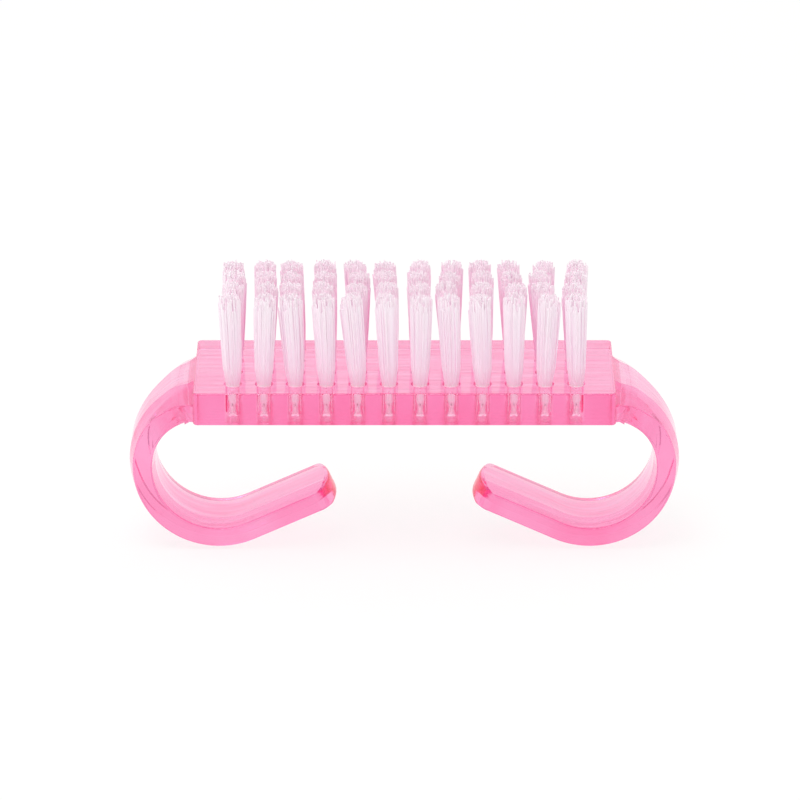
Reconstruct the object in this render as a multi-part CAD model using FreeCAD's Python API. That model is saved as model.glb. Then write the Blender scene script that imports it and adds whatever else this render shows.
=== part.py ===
import FreeCAD
import Part

import math
import os

# Nail brush: one clear moulding, a block with a curled finger loop at each end, set with rows of
# folded bristle tufts. A flat wire anchor holds each tuft down at the bottom of its hole.
# Millimetres, +Z up, +X along the block, -Y the front. The brush stands on its two curls with the
# bristles up, and its origin is under its middle at the height that it stands on.

Vector = FreeCAD.Vector

# Block
block_length = 80.0
block_width = 28.3
block_thickness = 6.45
block_corner_radius = 0.8
block_edge_radius = 0.35

# Arm section, the same from the widest point of the curl to the tip
arm_width = 15.5
arm_thickness = 3.6
outer_crown = 0.8
outer_flat_width = 6.5
inner_crown = 0.5
inner_flat_width = 6.8
arm_edge_radius = 0.45

# Arm route, from the end of the block round the curl to the straight tip
curl_radius = 12.7
curl_inset = 4.4
curl_past_bottom_degrees = 24.6
block_rise = 0.7
tip_length = 17.3
nose_length = 4.0
nose_draw = 0.6
nose_margin = 0.1

# Arm root, where the section widens into the end of the block and its slopes break at a ridge
root_depth = 0.3
root_top_step = 0.1
root_bottom_step = 0.25
root_side_inset = 0.6
root_flat_width = 12.6
root_ridge_width = 16.6
root_ridge_drop = 0.9
root_edge_drop = 2.2
root_stations = 9
root_first_degrees = 25.0
widest_degrees = 90.0
root_web_length = 1.7
root_web_width = 23.2

# Tuft pattern
tuft_columns = 12
tuft_rows = 4
end_margin = 7.44
side_margin = 5.22

# Hole under each tuft
hole_diameter = 2.86
hole_floor = 0.85
hole_point_depth = 0.3
hole_mouth_chamfer = 0.32

# Bristle tuft, its heights counted from the hole's bottom up to the mouth and from there to the tip
tuft_foot_diameter = 2.1
tuft_waist_diameter = 1.5
tuft_waist_height = 1.5
tuft_fill_height = 3.1
tuft_clearance = 0.05
tuft_height = 18.4
tuft_spread_diameter = 3.9
tuft_tip_round = 0.9
tuft_tip_diameter = 2.6
tuft_lobes = 8
tuft_groove = 0.2
tuft_overlap = 0.6
tuft_lean = 1.0

# Wire anchor, across its hole with both ends sunk in the wall
anchor_thickness = 0.25
anchor_height = 1.2
anchor_bite = 0.35

# Reach of a cutting tool past the face that it cuts
overrun = 1.0

# How fast each root size fades along the arm, as a power of the share of the way that is left
rise_fade = 4
flat_fade = 2.5
ridge_fade = 2
outer_width_fade = 2.5
inner_width_fade = 1.6

# Heights at which the nose is drawn, as shares of the arm's half depth, and how it draws back
nose_shares = (-1.05, -0.9, -0.7, -0.4, 0, 0.4, 0.7, 0.9, 1.05)
nose_fade = 6

# Heights above the mouth at which a tuft is drawn, as shares of its free length, and how it spreads
spread_shares = (0, 0.2, 0.5, 1)
spread_power = 0.6
lean_power = 1.3

# How far each column leans to the right and fans out, which of its rows goes where in the fan, and
# how far the tufts lean to the back in turn, as shares of a tuft's lean
column_lean_shares = (-0.1, 0.3, -0.8, -0.5, -0.4, -0.6, -0.1, -0.4, -0.3, -0.2, -0.2, 0)
column_fan_shares = (0.8, 0.7, 0, 0.2, 1.4, 0.5, 0.5, 1.2, 0.7, 1.2, 1.6, 1.1)
row_fan_shares = (-0.5, 0.15, 0.5, -0.15)
depth_lean_shares = (0.2, -0.3, 0.1, -0.1, 0.3)

# Places that follow from the sizes above
across = Vector(0, 1, 0)
up = Vector(0, 0, 1)
crown_radius = curl_radius + arm_thickness + outer_crown
inner_flat_radius = curl_radius - inner_crown
curl_centre = Vector(block_length / 2 - curl_inset, 0, crown_radius)
tip_degrees = 180 + curl_past_bottom_degrees
block_top = 2 * crown_radius + block_rise
block_bottom = block_top - block_thickness
hole_bottom = block_bottom + hole_floor
hole_radius = hole_diameter / 2
column_pitch = (block_length - 2 * end_margin) / (tuft_columns - 1)
row_pitch = (block_width - 2 * side_margin) / (tuft_rows - 1)


def blend(start, end, share):
    """Value the given share of the way from start to end."""
    return start + (end - start) * share


def line(first, last):
    """Straight edge."""
    return Part.LineSegment(first, last).toShape()


def on_curl(radius, degrees):
    """Point on the right curl, its angle counted from straight up, outwards and down."""
    angle = math.radians(degrees)
    return curl_centre + Vector(radius * math.sin(angle), 0, radius * math.cos(angle))


def rounded_loop(corners, radii):
    """Closed wire through the corners, each rounded by its radius, where zero leaves it sharp."""
    count = len(corners)
    ends = []
    for index, corner in enumerate(corners):
        radius = radii[index]
        if radius == 0:
            ends.append((corner, None, corner))
            continue
        before = (corners[index - 1] - corner).normalize()
        after = (corners[(index + 1) % count] - corner).normalize()
        half_angle = before.getAngle(after) / 2
        setback = radius / math.tan(half_angle)
        inward = (before + after).normalize()
        middle = corner + inward * (radius / math.sin(half_angle) - radius)
        ends.append((corner + before * setback, middle, corner + after * setback))
    edges = []
    for index, (first, middle, last) in enumerate(ends):
        if middle is not None:
            edges.append(Part.Arc(first, middle, last).toShape())
        edges.append(line(last, ends[(index + 1) % count][0]))
    return Part.Wire(edges)


def arm_section(inner, outer, inner_side, outer_side):
    """Section of the arm between two points on its middle plane.

    The inner side is its full width, the width of its flat and how far its edges stand back.
    The outer side has the same, with the width and drop of its ridge before the last.
    """
    inner_width, inner_flat, inner_drop = inner_side
    outer_width, outer_flat, ridge_width, ridge_drop, outer_drop = outer_side
    depth = inner.distanceToPoint(outer)
    outward = (outer - inner).normalize()
    right_half = (
        (outer_flat, depth, 0),
        (ridge_width, depth - ridge_drop, 0),
        (outer_width, depth - outer_drop, arm_edge_radius),
        (inner_width, inner_drop, arm_edge_radius),
        (inner_flat, 0, 0),
    )
    left_half = [(-width, height, radius) for width, height, radius in reversed(right_half)]
    outline = list(right_half) + left_half
    corners = [inner + across * (width / 2) + outward * height for width, height, radius in outline]
    return rounded_loop(corners, [radius for width, height, radius in outline])


def steady_sides():
    """Inner and outer side of the arm's section where it no longer changes, its ridge in line."""
    ridge_width = (outer_flat_width + arm_width) / 2
    inner_side = (arm_width, inner_flat_width, inner_crown)
    return inner_side, (arm_width, outer_flat_width, ridge_width, outer_crown / 2, outer_crown)


def steady_section(degrees):
    """Section of the arm at an angle of the curl where it no longer changes."""
    return arm_section(on_curl(inner_flat_radius, degrees), on_curl(crown_radius, degrees), *steady_sides())


def make_root():
    """Arm from inside the end of the block to the widest point of the curl."""
    inner_end, outer_end = steady_sides()
    root_x = block_length / 2 - root_depth
    root_inner = Vector(root_x, 0, block_bottom + root_bottom_step)
    root_outer = Vector(root_x, 0, block_top - root_top_step)
    root_width = block_width - 2 * root_side_inset
    root_inner_flat = root_width * inner_flat_width / arm_width
    inner_start = (root_width, root_inner_flat, 0)
    outer_start = (root_width, root_flat_width, root_ridge_width, root_ridge_drop, root_edge_drop)
    outer_fades = (outer_width_fade, flat_fade, ridge_fade, ridge_fade, ridge_fade)
    root_radius = root_outer.distanceToPoint(curl_centre)
    root_degrees = math.degrees(math.atan2(root_x - curl_centre.x, root_outer.z - curl_centre.z))

    sections = [arm_section(root_inner, root_outer, inner_start, outer_start)]
    for station in range(root_stations):
        # Stations crowd towards the widest point, so that the arm runs smoothly on from there.
        way = math.sin(math.radians(90) * station / (root_stations - 1))
        degrees = blend(root_first_degrees, widest_degrees, way)
        left = (widest_degrees - degrees) / (widest_degrees - root_degrees)
        outer_radius = blend(crown_radius, root_radius, left**rise_fade)
        inner_side = [
            blend(end, start, left**inner_width_fade) for end, start in zip(inner_end, inner_start)
        ]
        outer_side = [
            blend(end, start, left**fade) for end, start, fade in zip(outer_end, outer_start, outer_fades)
        ]
        inner = on_curl(inner_flat_radius, degrees)
        sections.append(arm_section(inner, on_curl(outer_radius, degrees), inner_side, outer_side))
    return Part.makeLoft(sections, True, False)


def make_root_web():
    """Hollow rounding under the root, from the bottom edge of the block to the underside of the arm."""
    near = Vector(block_length / 2 - block_edge_radius, 0, block_bottom)
    angle = math.asin((block_length / 2 + root_web_length - curl_centre.x) / inner_flat_radius)
    far = on_curl(inner_flat_radius, math.degrees(angle))
    along_arm = Vector(math.cos(angle), 0, -math.sin(angle))
    pull = root_web_length / 2
    curve = Part.BezierCurve()
    curve.setPoles([near, near + Vector(pull, 0, 0), far - along_arm * pull, far])
    near_inside = near + up * (arm_thickness / 2)
    far_inside = far + up * (arm_thickness / 2)
    edges = [curve.toShape(), line(far, far_inside), line(far_inside, near_inside), line(near_inside, near)]
    web = Part.Face(Part.Wire(edges)).extrude(across * root_web_width)
    web.translate(across * (-root_web_width / 2))
    return web


def make_curl():
    """Arm of steady section round the curl, from its widest point to the start of the tip."""
    face = Part.Face(steady_section(widest_degrees))
    return face.revolve(curl_centre, across, tip_degrees - widest_degrees)


def make_tip():
    """Straight end of the arm, its nose half an ellipse in plan that draws back at both faces."""
    angle = math.radians(tip_degrees)
    along = Vector(math.cos(angle), 0, -math.sin(angle))
    bar = Part.Face(steady_section(tip_degrees)).extrude(along * tip_length)

    outward = (on_curl(crown_radius, tip_degrees) - curl_centre).normalize()
    half_depth = (crown_radius - inner_flat_radius) / 2
    middle = on_curl(inner_flat_radius + half_depth, tip_degrees)
    side = across * (arm_width / 2 + nose_margin)
    outlines = []
    for share in nose_shares:
        start = middle + outward * (half_depth * share) - along * overrun
        shoulder = start + along * (overrun + tip_length - nose_length)
        reach = along * (nose_length - nose_draw * abs(share) ** nose_fade)
        ellipse = Part.Ellipse(shoulder + side, shoulder + reach, shoulder)
        nose = Part.ArcOfEllipse(ellipse, 0, math.pi).toShape()
        edges = [line(start + side, shoulder + side), nose, line(shoulder - side, start - side)]
        edges.append(line(start - side, start + side))
        outlines.append(Part.Wire(edges))
    return bar.common(Part.makeLoft(outlines, True, False))


def make_block():
    """Block with its four corners and all its edges rounded."""
    block = Part.makeBox(
        block_length,
        block_width,
        block_thickness,
        Vector(-block_length / 2, -block_width / 2, block_bottom),
    )
    corners = [edge for edge in block.Edges if abs(edge.tangentAt(edge.FirstParameter).z) == 1]
    block = block.makeFillet(block_corner_radius, corners)
    rims = []
    for edge in block.Edges:
        heights = {round(vertex.Z - block_bottom, 6) for vertex in edge.Vertexes}
        if len(heights) == 1:
            rims.append(edge)
    return block.makeFillet(block_edge_radius, rims)


def turned(profile, place):
    """Solid of revolution of a closed profile of edges in the XZ plane, moved to its place."""
    solid = Part.Face(Part.Wire(profile)).revolve(Vector(), up, 360)
    solid.translate(place)
    return solid


def polyline(points):
    """Edges through points given as radius and height."""
    corners = [Vector(radius, 0, height) for radius, height in points]
    return [line(first, last) for first, last in zip(corners, corners[1:])]


def make_hole(place):
    """Cutting solid of one tuft hole, with a tapered bottom and a chamfered mouth."""
    depth = block_top - hole_bottom
    mouth = hole_radius + hole_mouth_chamfer
    outline = (
        (0, 0),
        (tuft_foot_diameter / 2 + tuft_clearance, 0),
        (hole_radius, hole_point_depth),
        (hole_radius, depth - hole_mouth_chamfer),
        (mouth, depth),
        (mouth, depth + overrun),
        (0, depth + overrun),
        (0, 0),
    )
    return turned(polyline(outline), place)


def tuft_section(middle, radius, groove):
    """Wire round a tuft at one height, a star of lobes with grooves of the given depth between them."""
    corners = []
    for corner in range(2 * tuft_lobes):
        angle = math.pi * corner / tuft_lobes
        reach = radius - groove * (corner % 2)
        corners.append(middle + Vector(reach * math.cos(angle), reach * math.sin(angle), 0))
    return Part.makePolygon(corners + corners[:1])


def make_tuft(place, lean):
    """Bristle tuft: folded foot, waist at its anchor, a filled hole, then the spread brush that leans."""
    mouth = block_top - hole_bottom
    fill = hole_radius - tuft_clearance
    spread = tuft_spread_diameter / 2
    foot = Vector(tuft_foot_diameter / 2, 0, 0)
    waist = Vector(tuft_waist_diameter / 2, 0, tuft_waist_height)
    filled = Vector(fill, 0, tuft_fill_height)
    profile = [line(Vector(), foot), Part.Arc(foot, waist, filled).toShape()]
    profile += polyline(((fill, tuft_fill_height), (fill, mouth), (0, mouth), (0, 0)))
    root = turned(profile, place)

    sections = [tuft_section(place + up * (mouth - tuft_overlap), fill - tuft_clearance, tuft_groove / 2)]
    for share in spread_shares:
        height = mouth + (tuft_height - tuft_tip_round) * share
        middle = place + up * height + lean * share**lean_power
        radius = blend(fill - tuft_clearance, spread, share**spread_power)
        sections.append(tuft_section(middle, radius, blend(tuft_groove / 2, tuft_groove, share)))
    tip = place + up * (mouth + tuft_height) + lean
    sections.append(tuft_section(tip, tuft_tip_diameter / 2, tuft_groove))
    return root.fuse(Part.makeLoft(sections, True, True)).removeSplitter()


def in_turn(shares, number):
    """Share that falls to a number when the table is gone through again and again."""
    return shares[number % len(shares)]


def tuft_lean_at(row, column):
    """How far the tip of a tuft stands from the axis of its hole."""
    lean = in_turn(column_lean_shares, column)
    fan = in_turn(column_fan_shares, column) * in_turn(row_fan_shares, row + column)
    backwards = in_turn(depth_lean_shares, row * tuft_columns + column)
    return Vector(lean + fan, backwards, 0) * tuft_lean


def make_anchor(place):
    """Flat wire anchor, lying across the hole from front to back at the tuft's waist."""
    length = hole_diameter + 2 * anchor_bite
    corner = Vector(-anchor_thickness / 2, -length / 2, tuft_waist_height - anchor_height / 2)
    return Part.makeBox(anchor_thickness, length, anchor_height, place + corner)


def export(name, shape):
    """Write one node."""
    shape.exportStep(os.path.join("parts", name + ".step"))


def main():
    """Build every piece and write it."""
    os.makedirs("parts", exist_ok=True)
    right_arm = make_root().fuse([make_curl(), make_tip(), make_root_web()])
    left_arm = right_arm.mirror(Vector(), Vector(1, 0, 0))
    handle = make_block().fuse([right_arm, left_arm]).removeSplitter()

    holes = []
    for row in range(tuft_rows):
        anchors = []
        for column in range(tuft_columns):
            place = Vector(
                column * column_pitch - block_length / 2 + end_margin,
                row * row_pitch - block_width / 2 + side_margin,
                hole_bottom,
            )
            anchor = make_anchor(place)
            tuft = make_tuft(place, tuft_lean_at(row, column)).cut(anchor)
            export(f"tuft_row{row + 1}_{column + 1:02d}", tuft)
            holes += [make_hole(place), anchor]
            anchors.append(anchor)
        export(f"anchors_row{row + 1}", Part.makeCompound(anchors))
    handle = handle.cut(holes)
    export("brush_handle", handle)


main()
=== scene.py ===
"""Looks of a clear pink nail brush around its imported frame.

Metres, +Z up, +X along the block, -Y the front.
"""

import logging
import math
import random
from dataclasses import dataclass, field
from enum import Enum

import bmesh
import bpy
from mathutils import Matrix, Vector


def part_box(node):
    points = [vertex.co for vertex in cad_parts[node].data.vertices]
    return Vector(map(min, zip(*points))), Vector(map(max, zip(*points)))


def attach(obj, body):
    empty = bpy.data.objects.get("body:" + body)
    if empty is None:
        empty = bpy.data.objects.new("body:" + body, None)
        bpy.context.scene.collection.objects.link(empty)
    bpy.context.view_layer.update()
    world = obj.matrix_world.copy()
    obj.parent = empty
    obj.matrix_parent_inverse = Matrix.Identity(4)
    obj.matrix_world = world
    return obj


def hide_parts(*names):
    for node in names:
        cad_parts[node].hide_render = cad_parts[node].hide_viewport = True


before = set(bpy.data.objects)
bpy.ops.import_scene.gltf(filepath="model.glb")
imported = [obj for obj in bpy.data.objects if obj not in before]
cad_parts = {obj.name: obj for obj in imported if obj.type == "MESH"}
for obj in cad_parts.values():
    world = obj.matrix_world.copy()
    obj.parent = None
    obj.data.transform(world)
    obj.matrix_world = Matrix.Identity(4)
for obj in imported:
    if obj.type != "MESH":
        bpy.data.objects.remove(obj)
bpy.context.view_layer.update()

log = logging.getLogger("nail_brush")

MM = 0.001
HALF = 0.5
BODY = "root"
STRAND = "strand"

ROWS = 4
COLUMNS = 12
ANCHOR_THICKNESS = 0.25 * MM

# Full value of a screen's channel, and the knee and curve of its sRGB scale
CHANNEL_FULL = 255
SRGB_KNEE = 0.04045
SRGB_SLOPE = 12.92
SRGB_OFFSET = 0.055
SRGB_POWER = 2.4

# Sockets of a Mix node that mixes colours
MIX_SHARE = 0
MIX_FIRST = 6
MIX_SECOND = 7
MIX_RESULT = 2

# Turn from one filament to the next that fills a disc evenly
GOLDEN_TURN = math.pi * (3 - math.sqrt(5))

# Bounces of light in clear plastic and between filaments
CLEAR_BOUNCES = 96
SOFT_BOUNCES = 32

Colour = tuple[float, float, float, float]
Repeats = tuple[float, float, float]


class Slot(Enum):
    """Names of the record's material slots for the drawn pieces; this script does not assign them."""

    BRISTLE = "bristle_nylon"
    ANCHOR = "anchor_wire"


class Arithmetic(Enum):
    """Operations of a Math node that the finishes use."""

    ADD = "ADD"
    SUBTRACT = "SUBTRACT"
    MULTIPLY = "MULTIPLY"
    POWER = "POWER"
    ABSOLUTE = "ABSOLUTE"
    BELOW = "LESS_THAN"
    ZIGZAG = "PINGPONG"


class Blend(Enum):
    """Ways in which two colours are mixed."""

    MIX = "MIX"
    MULTIPLY = "MULTIPLY"


def srgb(red: int, green: int, blue: int) -> Colour:
    """Turn a colour as a screen shows it into the linear colour that a shader takes.

    Args:
        red: Red from 0 to 255.
        green: Green from 0 to 255.
        blue: Blue from 0 to 255.

    Returns:
        Linear colour with full alpha.
    """
    linear = []
    for channel in (red, green, blue):
        share = channel / CHANNEL_FULL
        curved = ((share + SRGB_OFFSET) / (1 + SRGB_OFFSET)) ** SRGB_POWER
        linear.append(share / SRGB_SLOPE if share <= SRGB_KNEE else curved)
    return (*linear, 1.0)


class Wire:
    """Output of a node that takes part in Python arithmetic."""

    def __init__(self, graph: "Graph", socket: bpy.types.NodeSocket) -> None:
        """Keep the socket and the graph that it belongs to."""
        self.graph = graph
        self.socket = socket

    def __add__(self, other: "Wire | float") -> "Wire":
        """Sum of this and another value."""
        return self.graph.math(Arithmetic.ADD, self, other)

    def __radd__(self, other: float) -> "Wire":
        """Sum of a number and this."""
        return self.graph.math(Arithmetic.ADD, other, self)

    def __sub__(self, other: "Wire | float") -> "Wire":
        """This less another value."""
        return self.graph.math(Arithmetic.SUBTRACT, self, other)

    def __rsub__(self, other: float) -> "Wire":
        """A number less this."""
        return self.graph.math(Arithmetic.SUBTRACT, other, self)

    def __mul__(self, other: "Wire | float") -> "Wire":
        """Product of this and another value."""
        return self.graph.math(Arithmetic.MULTIPLY, self, other)

    def __rmul__(self, other: float) -> "Wire":
        """Product of a number and this."""
        return self.graph.math(Arithmetic.MULTIPLY, other, self)

    def __pow__(self, other: "Wire | float") -> "Wire":
        """This to the power of another value."""
        return self.graph.math(Arithmetic.POWER, self, other)

    def __rpow__(self, other: float) -> "Wire":
        """A number to the power of this."""
        return self.graph.math(Arithmetic.POWER, other, self)

    def __abs__(self) -> "Wire":
        """This without its sign."""
        return self.graph.math(Arithmetic.ABSOLUTE, self, 0.0)

    def below(self, limit: float) -> "Wire":
        """One where this is below a limit, else zero."""
        return self.graph.math(Arithmetic.BELOW, self, limit)

    def off_nearest(self, first: float, pitch: float) -> "Wire":
        """Distance to the nearest of a row of even places."""
        return self.graph.math(Arithmetic.ZIGZAG, self - first, pitch / 2)


Socketed = Wire | float | tuple[float, ...]


class Graph:
    """Node tree of one finish or of the world, drawn by name."""

    def __init__(self, tree: bpy.types.NodeTree) -> None:
        """Start with an empty tree."""
        self.tree = tree
        tree.nodes.clear()

    def node(
        self,
        kind: str,
        settings: dict[str, object] | None = None,
        inputs: dict[str | int, Socketed] | None = None,
        output: str | int = 0,
    ) -> Wire | None:
        """Add a node, set it up and feed its sockets.

        Args:
            kind: Type of the node.
            settings: Its properties, which are set first. A ramp's stops are pairs of place and colour.
            inputs: Numbers, colours or wires for its sockets, by name or index.
            output: Name or index of the output to return.

        Returns:
            The chosen output, or None from a node that has none.
        """
        made = self.tree.nodes.new(kind)
        for name, value in (settings or {}).items():
            if name == "stops":
                self._set_stops(made.color_ramp, value)
            else:
                setattr(made, name, value)
        for name, value in (inputs or {}).items():
            if isinstance(value, Wire):
                self.tree.links.new(value.socket, made.inputs[name])
            else:
                made.inputs[name].default_value = value
        return Wire(self, made.outputs[output]) if len(made.outputs) else None

    def math(self, operation: Arithmetic, first: Wire | float, second: Wire | float) -> Wire:
        """Add a Math node on two values."""
        return self.node("ShaderNodeMath", {"operation": operation.value}, {0: first, 1: second})

    @staticmethod
    def _set_stops(ramp: bpy.types.ColorRamp, stops: list[tuple[float, Colour]]) -> None:
        """Give a ramp its stops.

        Args:
            ramp: Ramp that has its two first stops.
            stops: Place and colour of each stop, in order.
        """
        while len(ramp.elements) < len(stops):
            ramp.elements.new(1.0)
        for element, (place, colour) in zip(ramp.elements, stops):
            element.position = place
            element.color = colour

    def object_place(self, scale: Repeats) -> Wire:
        """Object coordinates, scaled along each axis.

        Args:
            scale: Repeats per metre along X, Y and Z.

        Returns:
            Vector output to feed a texture.
        """
        place = self.node("ShaderNodeTexCoord", output="Object")
        return self.node("ShaderNodeMapping", {"vector_type": "POINT"}, {"Vector": place, "Scale": scale})

    def axes(self) -> tuple[Wire, Wire, Wire]:
        """Object coordinates, one by one."""
        place = {"Vector": self.node("ShaderNodeTexCoord", output="Object")}
        x, y, z = [self.node("ShaderNodeSeparateXYZ", None, place, axis) for axis in "XYZ"]
        return x, y, z

    def mix(
        self, share: Wire | float, first: Socketed, second: Socketed, blend: Blend = Blend.MIX
    ) -> Wire:
        """Mix two colours.

        Args:
            share: Share of the second colour.
            first: Colour at a share of zero.
            second: Colour at a share of one.
            blend: Way in which they are mixed.

        Returns:
            The mixed colour.
        """
        settings = {"data_type": "RGBA", "blend_type": blend.value}
        sockets = {MIX_SHARE: share, MIX_FIRST: first, MIX_SECOND: second}
        return self.node("ShaderNodeMix", settings, sockets, MIX_RESULT)

    def noise(self, repeats: Repeats, detail: float) -> Wire:
        """Noise about one half at object coordinates.

        Args:
            repeats: Repeats per metre along X, Y and Z.
            detail: Octaves.

        Returns:
            Noise value.
        """
        sockets = {"Vector": self.object_place(repeats), "Scale": 1.0, "Detail": detail}
        return self.node("ShaderNodeTexNoise", {"noise_dimensions": "3D"}, sockets)

    def ramp(self, value: Wire, stops: list[tuple[float, Colour]]) -> Wire:
        """Colour that a value has along a ramp."""
        return self.node("ShaderNodeValToRGB", {"stops": stops}, {"Fac": value})

    def bump(self, height: Wire, distance: float) -> Wire:
        """Normal of a surface whose relief, from 0 to 1, has a real height."""
        return self.node("ShaderNodeBump", None, {"Height": height, "Distance": distance, "Strength": 1.0})

    def end(self, surface: Wire, volume: Wire | None = None) -> None:
        """Close the tree with the material's output."""
        ends = {"Surface": surface} if volume is None else {"Surface": surface, "Volume": volume}
        self.node("ShaderNodeOutputMaterial", None, ends)


class Finish:
    """What every finish shares: its material is drawn once and then reused."""

    name: str

    def material(self) -> bpy.types.Material:
        """Give the finish's material, drawn on first use."""
        made = bpy.data.materials.get(self.name)
        if made is None:
            made = bpy.data.materials.new(self.name)
            made.use_nodes = True
            self.draw(Graph(made.node_tree))
        return made

    def draw(self, graph: Graph) -> None:
        """Draw the finish's nodes."""
        raise NotImplementedError


@dataclass(frozen=True)
class BoreGrid:
    """Where the tuft holes are: the first one's axis, the steps to the next and their size."""

    first: tuple[float, float]
    pitch: tuple[float, float]
    radius: float
    floor: float

    def mask(self, graph: Graph) -> Wire:
        """Mark the walls of the holes and the strips of the block's front and back beside them, where
        painted light makes the moulding paler.

        Args:
            graph: Graph to draw in.

        Returns:
            One within the reach of a hole's wall, else zero.
        """
        x, y, z = graph.axes()
        off_x = x.off_nearest(self.first[0], self.pitch[0])
        off_y = y.off_nearest(self.first[1], self.pitch[1])
        in_columns = abs(x).below(abs(self.first[0]) + self.radius)
        in_reach = (off_x**2 + off_y**2).below(self.radius**2)
        return in_reach * in_columns * (1 - z.below(self.floor))


@dataclass(frozen=True)
class ClearPlastic(Finish):
    """Clear pink moulded plastic that tints light by the depth that it crosses."""

    bores: BoreGrid
    top: float
    underside: float
    block_reach: float
    web: tuple[float, float]
    name: str = "clear_pink_plastic"
    tint: Colour = (0.985, 0.0, 0.52, 1.0)
    tint_per_metre: float = 30.0
    ior: float = 1.49
    pale: Colour = (1.0, 0.67, 0.85, 1.0)
    clear: Colour = (1.0, 0.39, 0.615, 1.0)
    # Painted shade: below the block's underside the moulding is multiplied by this darker pink, for the
    # shadowed floor seen through the arms
    painted_shade_below: Colour = (1.0, 0.92, 0.96, 1.0)
    # Painted light: nearly white on the hole walls and the strips beside them, lifting the dark refracted
    # outlines round the tuft roots
    painted_light_bore: Colour = (1.0, 0.95, 0.97, 1.0)
    # Painted light: paler pink where the arms join the block, over dark refracted marks there
    painted_light_web: Colour = (1.0, 0.74, 0.86, 1.0)
    flow_repeats: Repeats = (60.0, 700.0, 60.0)
    flow_detail: float = 4.0
    flow_share: float = 0.6
    pale_stop: float = 0.3
    clear_stop: float = 0.7
    peel_repeats: Repeats = (420.0, 420.0, 420.0)
    peel_detail: float = 2.0
    smooth: float = 0.02
    dull: float = 0.06
    satin: float = 0.2
    relief: float = 0.045 * MM
    web_reach: float = 1.6 * MM
    skin: float = 0.05 * MM

    def draw(self, graph: Graph) -> None:
        """Draw flow marks, a fine skin, a satin underside and the tint inside, with painted light that
        pales the bores and webs and painted shade below the block.
        """
        x, _, z = graph.axes()
        flow = graph.noise(self.flow_repeats, self.flow_detail)
        peel = graph.noise(self.peel_repeats, self.peel_detail)
        flowed = graph.ramp(flow, [(self.pale_stop, self.pale), (self.clear_stop, self.clear)])
        # Painted shade: darker pink below the block's underside
        shaded_flowed = graph.mix(1.0, flowed, self.painted_shade_below, Blend.MULTIPLY)
        tone = graph.mix(z.below(self.underside - self.skin), flowed, shaded_flowed)
        under = abs(z - self.underside).below(self.skin) * abs(x).below(self.block_reach)
        # Painted light on the hole walls and the strips beside them
        in_bore = self.bores.mask(graph) * z.below(self.top - self.skin)
        web_x, web_z = self.web
        # Painted light where the arms join the block, which is also made rougher
        in_web = abs(abs(x) - web_x).below(self.web_reach) * abs(z - web_z).below(self.web_reach)
        rough = self.smooth + self.dull * (flow * peel) + self.satin * (under + in_web)
        sockets = {
            # The base colour carries the painted light on the bores and webs
            "Base Color": graph.mix(in_bore, graph.mix(in_web, tone, self.painted_light_web), self.painted_light_bore),
            "Roughness": rough,
            "IOR": self.ior,
            "Transmission Weight": 1.0,
            "Normal": graph.bump(flow * self.flow_share + peel * (1 - self.flow_share), self.relief),
        }
        shader = graph.node("ShaderNodeBsdfPrincipled", None, sockets)
        inside = {"Color": self.tint, "Density": self.tint_per_metre}
        graph.end(shader, graph.node("ShaderNodeVolumeAbsorption", None, inside))


@dataclass(frozen=True)
class BristleNylon(Finish):
    """Pale nylon filament, each one a little different, with painted pink light from the block near the
    mouth.
    """

    mouth: float
    tip: float
    name: str = "bristle_nylon_filament"
    cool: Colour = (0.985, 0.985, 1.0, 1.0)
    warm: Colour = (1.0, 0.99, 0.995, 1.0)
    in_hole: Colour = (1.0, 0.95, 0.975, 1.0)
    # Painted light: pink from the block, strongest just above the mouth and fading towards the tips
    low: Colour = (1.0, 0.84, 0.925, 1.0)
    middle: Colour = (0.985, 0.835, 0.922, 1.0)
    high: Colour = (0.995, 0.945, 0.97, 1.0)
    # Painted shade: a random share of the filaments are darker over the top of their free length, at the
    # cut ends
    shaded_tip: Colour = (0.94, 0.85, 0.90, 1.0)
    shaded_tip_share: float = 0.2
    shaded_tip_start: float = 0.88
    low_stop: float = 0.03
    middle_stop: float = 0.3
    mark_repeats: Repeats = (6000.0, 6000.0, 500.0)
    mark_detail: float = 2.0
    ior: float = 1.53
    smooth: float = 0.42
    dull: float = 0.25

    def draw(self, graph: Graph) -> None:
        """Draw filaments whose tone changes from one to the next, with painted pink light along their
        length and painted shade on some cut ends.
        """
        _, _, z = graph.axes()
        free_share = (z - self.mouth) * (1 / (self.tip - self.mouth))
        strand = graph.node("ShaderNodeAttribute", {"attribute_name": STRAND}, output="Fac")
        pick = graph.node("ShaderNodeTexWhiteNoise", {"noise_dimensions": "1D"}, {"W": strand}, "Value")
        draw_marks = graph.noise(self.mark_repeats, self.mark_detail)
        # Ramp along the free length, which carries the painted pink light from the block
        stops = [
            (0.0, self.in_hole),
            (self.low_stop, self.low),
            (self.middle_stop, self.middle),
            (1.0, self.high),
        ]
        own = graph.ramp(pick, [(0.0, self.cool), (1.0, self.warm)])
        tone = graph.mix(1.0, graph.ramp(free_share, stops), own, Blend.MULTIPLY)
        # Painted shade on the cut ends of a random share of the filaments
        tip_shaded = pick.below(self.shaded_tip_share) * (1 - free_share.below(self.shaded_tip_start))
        sockets = {
            "Base Color": graph.mix(tip_shaded, tone, self.shaded_tip),
            "Roughness": self.smooth + self.dull * draw_marks,
            "IOR": self.ior,
        }
        graph.end(graph.node("ShaderNodeBsdfPrincipled", None, sockets))


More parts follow.
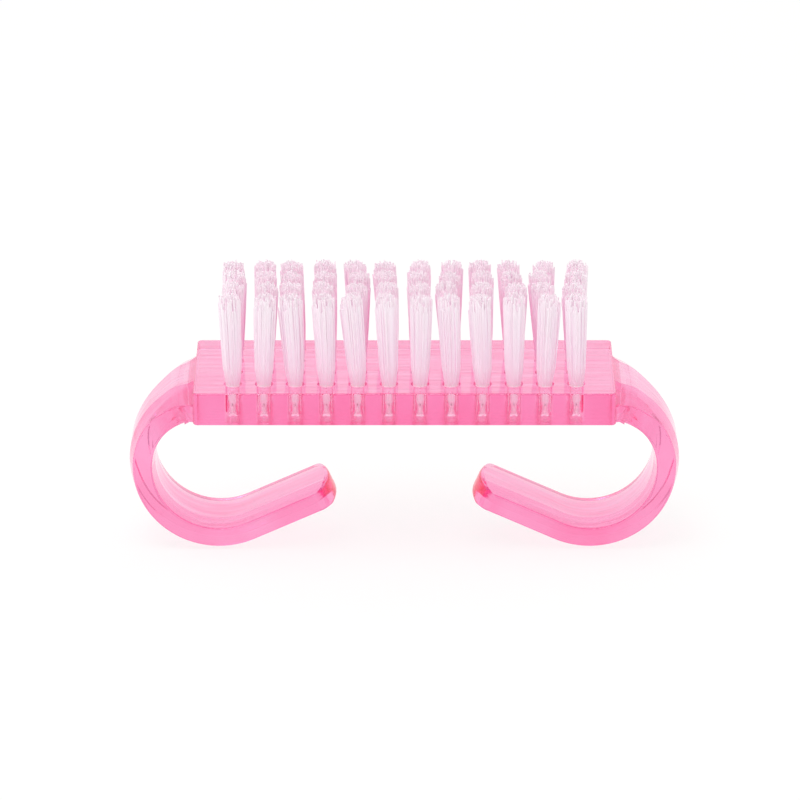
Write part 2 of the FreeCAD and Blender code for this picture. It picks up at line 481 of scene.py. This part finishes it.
@dataclass(frozen=True)
class DrawnWire(Finish):
    """Drawn aluminium wire, dulled by its skin, with marks along its length."""

    name: str = "drawn_anchor_wire"
    bright: Colour = srgb(255, 252, 253)
    grey: Colour = srgb(250, 244, 246)
    grey_stop: float = 0.3
    bright_stop: float = 0.7
    mark_repeats: Repeats = (9000.0, 300.0, 9000.0)
    mark_detail: float = 3.0
    relief: float = 0.003 * MM
    metal: float = 0.05
    smooth: float = 0.4
    dull: float = 0.3

    def draw(self, graph: Graph) -> None:
        """Draw drawing marks along the wire."""
        marks = graph.noise(self.mark_repeats, self.mark_detail)
        sockets = {
            "Base Color": graph.ramp(marks, [(self.grey_stop, self.grey), (self.bright_stop, self.bright)]),
            "Metallic": self.metal,
            "Roughness": self.smooth + self.dull * marks,
            "Normal": graph.bump(marks, self.relief),
        }
        graph.end(graph.node("ShaderNodeBsdfPrincipled", None, sockets))


def place_piece(
    bm: bmesh.types.BMesh, name: str, finish: Finish, nodes: list[str]
) -> bpy.types.Object:
    """Turn a finished bmesh into a piece that rides on the brush and stands for CAD nodes.

    Args:
        bm: Mesh in the frame's own place. It is freed.
        name: Name of the piece.
        finish: Finish of the piece.
        nodes: CAD nodes that it stands for.

    Returns:
        The piece's object, at the origin.
    """
    mesh = bpy.data.meshes.new(name)
    bm.to_mesh(mesh)
    bm.free()
    mesh.materials.append(finish.material())
    piece = bpy.data.objects.new(name, mesh)
    bpy.context.scene.collection.objects.link(piece)
    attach(piece, BODY)
    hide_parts(*nodes)
    log.info("piece %s: %d faces", name, len(mesh.polygons))
    return piece


@dataclass
class Moulding:
    """The clear moulding, whose CAD solid already has its shape."""

    node: str = "brush_handle"
    bore_reach: float = 1.6 * MM
    hole_depth: float = 5.6 * MM
    block_thickness: float = 6.45 * MM
    block_length: float = 80.0 * MM
    web: tuple[float, float] = (41.2 * MM, 28.8 * MM)

    @property
    def top(self) -> float:
        """Height of the block's upper face, the highest that the moulding reaches."""
        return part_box(self.node)[1].z

    def bores(self) -> BoreGrid:
        """Read the grid of tuft holes off the anchors that lie across them.

        Returns:
            The grid of holes.
        """
        low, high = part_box("anchors_row1")
        last_low, last_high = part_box(f"anchors_row{ROWS}")
        first = (low.x + ANCHOR_THICKNESS / 2, (low.y + high.y) / 2)
        pitch_x = (high.x - low.x - ANCHOR_THICKNESS) / (COLUMNS - 1)
        pitch_y = ((last_low.y + last_high.y) / 2 - first[1]) / (ROWS - 1)
        return BoreGrid(first, (pitch_x, pitch_y), self.bore_reach, self.top - self.hole_depth)

    def dress(self) -> None:
        """Give the CAD node its finish."""
        underside = self.top - self.block_thickness
        finish = ClearPlastic(self.bores(), self.top, underside, self.block_length / 2, self.web)
        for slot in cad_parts[self.node].material_slots:
            slot.link = "OBJECT"
            slot.material = finish.material()
        log.info("piece %s: CAD solid with %s", self.node, finish.name)


@dataclass
class TuftForm:
    """Sizes that all the tufts share. Heights are counted from the bottom of the hole."""

    strands: int = 280
    strand_diameter: float = 0.26 * MM
    strand_sides: int = 4
    fold_steps: int = 6
    hole_diameter: float = 2.86 * MM
    hole_clearance: float = 0.06 * MM
    anchor_bottom: float = 0.9 * MM
    anchor_top: float = 2.1 * MM
    waist_reach: float = 0.75 * MM
    foot_reach: float = 1.3 * MM
    fill_height: float = 3.1 * MM
    spread_diameter: float = 4.4 * MM
    spread_steps: tuple[float, ...] = (0.2, 0.5, 1.0)
    spread_power: float = 0.4
    lean_power: float = 1.3
    scatter: float = 0.06 * MM
    stray_share: float = 0.02
    stray_reach: float = 0.3 * MM
    dome: float = 0.7 * MM
    uneven: float = 2.8 * MM
    level_slack: float = 0.02 * MM
    flat_slack: float = 0.0001 * MM
    least_circle: float = 0.01

    @property
    def beside(self) -> float:
        """Distance from the anchor's middle to the filaments that lie against it."""
        return (ANCHOR_THICKNESS + self.strand_diameter) / 2


@dataclass
class Tuft:
    """One bundle of filaments, folded under its anchor and spread above the block as its solid is."""

    node: str
    form: TuftForm
    mouth: float
    seed: int
    finish: BristleNylon
    foot: Vector = field(init=False)
    tip: Vector = field(init=False)

    def __post_init__(self) -> None:
        """Read the middle of the tuft's foot and of its tip from its CAD node."""
        low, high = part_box(self.node)
        self.foot = self._middle_at(low.z)
        self.tip = self._middle_at(high.z)

    def _middle_at(self, height: float) -> Vector:
        """Middle of the solid's corners at one height.

        Args:
            height: Height in the frame.

        Returns:
            Mean place of these corners.
        """
        places = [vert.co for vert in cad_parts[self.node].data.vertices]
        corners = [place for place in places if abs(place.z - height) < self.form.level_slack]
        return sum(corners, Vector()) / len(corners)

    def build(self) -> bpy.types.Object:
        """Fold the filaments under the anchor, then draw both legs up to the tip.

        Returns:
            The tuft's piece.
        """
        chance = random.Random(self.seed)
        bm = bmesh.new()
        strand = bm.faces.layers.int.new(STRAND)
        self._start(bm)
        self._fold(bm)
        bend = self.foot.z + self.form.anchor_bottom
        caps = [face for face in bm.faces if self._lies_at(face, bend)]
        legs = []
        for number, cap in enumerate(caps):
            cap[strand] = number
            legs.append(self._leg(cap.calc_center_median(), chance))
        self._flare(bm)
        for station in range(len(legs[0])):
            caps = bmesh.ops.extrude_discrete_faces(bm, faces=caps)["faces"]
            for cap in caps:
                shift = legs[cap[strand]][station] - cap.calc_center_median()
                for vert in cap.verts:
                    vert.co += shift
        bmesh.ops.recalc_face_normals(bm, faces=bm.faces)
        return place_piece(bm, "bristles_" + self.node, self.finish, [self.node])

    def _lies_at(self, face: bmesh.types.BMFace, height: float) -> bool:
        """Whether a face lies flat at a height."""
        return all(abs(vert.co.z - height) < self.form.flat_slack for vert in face.verts)

    def _start(self, bm: bmesh.types.BMesh) -> None:
        """Set a small disc for each filament on the left of the anchor, at its lower edge."""
        form = self.form
        radius = form.strand_diameter / 2
        for number in range(form.strands):
            reach = math.sqrt((number + HALF) / form.strands)
            turn = number * GOLDEN_TURN
            x, y = reach * math.cos(turn), reach * math.sin(turn)
            if x > 0:
                continue
            place = self.foot + Vector((*self._squeezed(x, y), form.anchor_bottom))
            there = Matrix.Translation(place)
            bmesh.ops.create_circle(
                bm, cap_ends=True, segments=form.strand_sides, radius=radius, matrix=there
            )

    def _squeezed(self, x: float, y: float) -> tuple[float, float]:
        """Place of a filament at the waist.

        Args:
            x: Its place in the round hole across the anchor, in radii.
            y: Its place in the round hole along the anchor, in radii.

        Returns:
            Its place from the tuft's middle, across and along the anchor.
        """
        form = self.form
        across = form.beside + (form.waist_reach - form.beside) * abs(x)
        return math.copysign(across, x), y * form.waist_reach

    def _fold(self, bm: bmesh.types.BMesh) -> None:
        """Turn every filament round under the anchor to its right."""
        axis_place = self.foot + Vector((0, 0, self.form.anchor_bottom))
        bmesh.ops.spin(
            bm,
            geom=bm.faces[:],
            cent=axis_place,
            axis=(0, -1, 0),
            angle=math.pi,
            steps=self.form.fold_steps,
            use_merge=False,
        )

    def _flare(self, bm: bmesh.types.BMesh) -> None:
        """Spread the folds towards the bottom of the hole, where they end in a wide flat foot."""
        form = self.form
        outer = form.waist_reach + form.strand_diameter / 2
        for vert in bm.verts:
            depth = (form.anchor_bottom - (vert.co.z - self.foot.z)) / outer
            if depth <= 0:
                continue
            circle = math.sqrt(max(1 - depth**2, form.least_circle))
            wider = 1 + depth * (form.foot_reach / outer / circle - 1)
            longer = 1 + depth * (form.foot_reach / outer - 1)
            vert.co.x = self.foot.x + (vert.co.x - self.foot.x) * wider
            vert.co.y = self.foot.y + (vert.co.y - self.foot.y) * longer

    def _leg(self, start: Vector, chance: random.Random) -> list[Vector]:
        """Places that one leg passes on its way up from the fold.

        Args:
            start: Middle of its end at the fold.
            chance: Source of its small differences.

        Returns:
            Places at the anchor's top, in the hole, at its mouth and along the free length.
        """
        form = self.form
        offset = start - self.foot
        across = (abs(offset.x) - form.beside) / (form.waist_reach - form.beside)
        unit = Vector((across, offset.y / form.waist_reach, 0))
        unit.x = math.copysign(unit.x, offset.x)
        fill = (form.hole_diameter - form.strand_diameter) / 2 - form.hole_clearance
        held = unit * fill
        path = [start + Vector((0, 0, form.anchor_top - form.anchor_bottom))]
        path.append(self.foot + held + Vector((0, 0, form.fill_height)))
        mouth = Vector((self.foot.x, self.foot.y, self.mouth)) + held
        path.append(mouth.copy())
        spread = (form.spread_diameter - form.strand_diameter) / 2
        astray = Vector((chance.gauss(0, 1), chance.gauss(0, 1), 0))
        splay = unit * (spread - fill) + astray * form.scatter
        if chance.random() < form.stray_share:
            splay += unit * form.stray_reach
        lean = Vector((self.tip.x - self.foot.x, self.tip.y - self.foot.y, 0))
        free = self.tip.z - self.mouth - form.dome * unit.length_squared - form.uneven * chance.random()
        for share in form.spread_steps:
            sideways = splay * share**form.spread_power + lean * share**form.lean_power
            path.append(mouth + sideways + Vector((0, 0, free * share)))
        return path


@dataclass
class BristleField:
    """All the tufts, column by column and row by row."""

    seed: int = 11
    form: TuftForm = field(default_factory=TuftForm)

    def build(self, mouth: float) -> list[bpy.types.Object]:
        """Build every tuft.

        Args:
            mouth: Height of the block's upper face.

        Returns:
            The tufts' pieces.
        """
        finish = BristleNylon(mouth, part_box("tuft_row1_01")[1].z)
        pieces = []
        for row in range(ROWS):
            for column in range(COLUMNS):
                node = f"tuft_row{row + 1}_{column + 1:02d}"
                seed = self.seed + row * COLUMNS + column
                pieces.append(Tuft(node, self.form, mouth, seed, finish).build())
        return pieces


@dataclass
class AnchorRow:
    """The flat wire anchors of one row of tufts."""

    row: int
    bevel: float = 0.05 * MM
    bevel_segments: int = 3
    snug: float = 0.004 * MM
    finish: DrawnWire = DrawnWire()

    def build(self) -> bpy.types.Object:
        """Build the row's anchors as strips with rounded edges, seated snugly in the plastic.

        Returns:
            The row's piece.
        """
        node = f"anchors_row{self.row}"
        low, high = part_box(node)
        grown = Vector((1, 1, 1)) * 2 * self.snug
        size = Vector((ANCHOR_THICKNESS, high.y - low.y, high.z - low.z)) + grown
        pitch = (high.x - low.x - ANCHOR_THICKNESS) / (COLUMNS - 1)
        bm = bmesh.new()
        for column in range(COLUMNS):
            middle = (low + high) / 2
            middle.x = low.x + ANCHOR_THICKNESS / 2 + column * pitch
            stretch = Matrix.Diagonal((*size, 1))
            bmesh.ops.create_cube(bm, size=1, matrix=Matrix.Translation(middle) @ stretch)
        edges = [edge for edge in bm.edges if self._runs_along(edge)]
        bmesh.ops.bevel(
            bm,
            geom=edges,
            offset=self.bevel,
            offset_type="OFFSET",
            segments=self.bevel_segments,
            profile=0.5,
            affect="EDGES",
            material=-1,
        )
        return place_piece(bm, "wire_" + node, self.finish, [node])

    @staticmethod
    def _runs_along(edge: bmesh.types.BMEdge) -> bool:
        """Whether an edge runs along its strip."""
        return abs(edge.verts[0].co.y - edge.verts[1].co.y) > ANCHOR_THICKNESS


@dataclass(frozen=True)
class StudioFloor(Finish):
    """White floor that shows as white to the eye and keeps a soft shadow."""

    name: str = "white_floor"
    colour: Colour = (0.95, 0.95, 0.95, 1.0)
    white: Colour = (1.0, 1.0, 0.99, 1.0)
    kept_white: float = 0.8

    def draw(self, graph: Graph) -> None:
        """Draw a floor that glows a little where it is looked at."""
        diffuse = graph.node("ShaderNodeBsdfDiffuse", None, {"Color": self.colour})
        glow = graph.node("ShaderNodeEmission", None, {"Color": self.white, "Strength": 1.0})
        shown = looked_at(graph) * self.kept_white
        graph.end(graph.node("ShaderNodeMixShader", None, {0: shown, 1: diffuse, 2: glow}))


def looked_at(graph: Graph) -> Wire:
    """One where the eye looks straight, by a reflection or through something clear, else zero."""
    straight = graph.node("ShaderNodeLightPath", output="Is Camera Ray")
    mirrored = graph.node("ShaderNodeLightPath", output="Is Glossy Ray")
    through = graph.node("ShaderNodeLightPath", output="Is Transmission Ray")
    return graph.node("ShaderNodeClamp", None, {"Value": straight + mirrored + through})


@dataclass
class Studio:
    """Floor, lights and camera round the brush."""

    floor_size: float = 6.0
    ambient: float = 1.0
    room: Colour = (0.72, 0.72, 0.72, 1.0)
    room_stop: float = 0.45
    white_stop: float = 0.6
    key_size: float = 0.7
    key_place: tuple[float, float, float] = (-0.25, -0.25, 1.1)
    key_power: float = 5.0
    lens: float = 238.5
    camera_place: tuple[float, float, float] = (-0.85 * MM, -941.8 * MM, 408.54 * MM)
    camera_target: tuple[float, float, float] = (-0.85 * MM, -14.64 * MM, 33.92 * MM)

    def build(self) -> None:
        """Set up the whole studio."""
        self._floor()
        self._world()
        self._key()
        self._camera()
        bpy.context.scene.view_settings.view_transform = "Standard"

    def _floor(self) -> None:
        """Lay the floor under the brush."""
        bm = bmesh.new()
        bmesh.ops.create_grid(bm, x_segments=1, y_segments=1, size=self.floor_size / 2)
        mesh = bpy.data.meshes.new("studio_floor")
        bm.to_mesh(mesh)
        bm.free()
        mesh.materials.append(StudioFloor().material())
        floor = bpy.data.objects.new("studio_floor", mesh)
        bpy.context.scene.collection.objects.link(floor)

    def _world(self) -> None:
        """Surround the brush with even white light that falls off behind the camera."""
        world = bpy.data.worlds.new("studio")
        world.use_nodes = True
        bpy.context.scene.world = world
        graph = Graph(world.node_tree)
        strength = self.ambient + (1 - self.ambient) * looked_at(graph)
        away = {"Vector": graph.node("ShaderNodeTexCoord", output="Generated")}
        depth = graph.node("ShaderNodeSeparateXYZ", None, away, "Y")
        stops = [(0.0, self.room), (self.room_stop, self.room), (self.white_stop, StudioFloor().white)]
        eye = graph.node("ShaderNodeLightPath", output="Is Camera Ray")
        tone = graph.mix(eye, graph.ramp(depth * HALF + HALF, stops), StudioFloor().white)
        white = graph.node("ShaderNodeBackground", None, {"Color": tone, "Strength": strength})
        graph.node("ShaderNodeOutputWorld", None, {"Surface": white})

    def _key(self) -> None:
        """Hang one large soft light overhead, a little to the left."""
        lamp = bpy.data.lights.new("key", "AREA")
        lamp.shape = "SQUARE"
        lamp.size = self.key_size
        lamp.energy = self.key_power
        key = bpy.data.objects.new("key", lamp)
        key.location = self.key_place
        key.rotation_euler = (-key.location).to_track_quat("-Z", "Y").to_euler()
        bpy.context.scene.collection.objects.link(key)

    def _camera(self) -> None:
        """Stand the camera where the brush was seen from."""
        data = bpy.data.cameras.new("camera")
        data.lens = self.lens
        camera = bpy.data.objects.new("camera", data)
        camera.location = self.camera_place
        gaze = Vector(self.camera_target) - camera.location
        camera.rotation_euler = gaze.to_track_quat("-Z", "Y").to_euler()
        bpy.context.scene.collection.objects.link(camera)
        bpy.context.scene.camera = camera


def set_bounces() -> None:
    """Let light pass through enough walls of clear plastic and stay sharp after a soft bounce."""
    cycles = bpy.context.scene.cycles
    cycles.max_bounces = CLEAR_BOUNCES
    cycles.transmission_bounces = CLEAR_BOUNCES
    cycles.glossy_bounces = CLEAR_BOUNCES
    cycles.diffuse_bounces = SOFT_BOUNCES
    cycles.blur_glossy = 0.0


def main() -> None:
    """Build and dress every piece in order, then the studio."""
    logging.basicConfig(level=logging.INFO, format="%(message)s")
    moulding = Moulding()
    moulding.dress()
    BristleField().build(moulding.top)
    for row in range(ROWS):
        AnchorRow(row + 1).build()
    Studio().build()
    set_bounces()


if __name__ == "__main__":
    main()
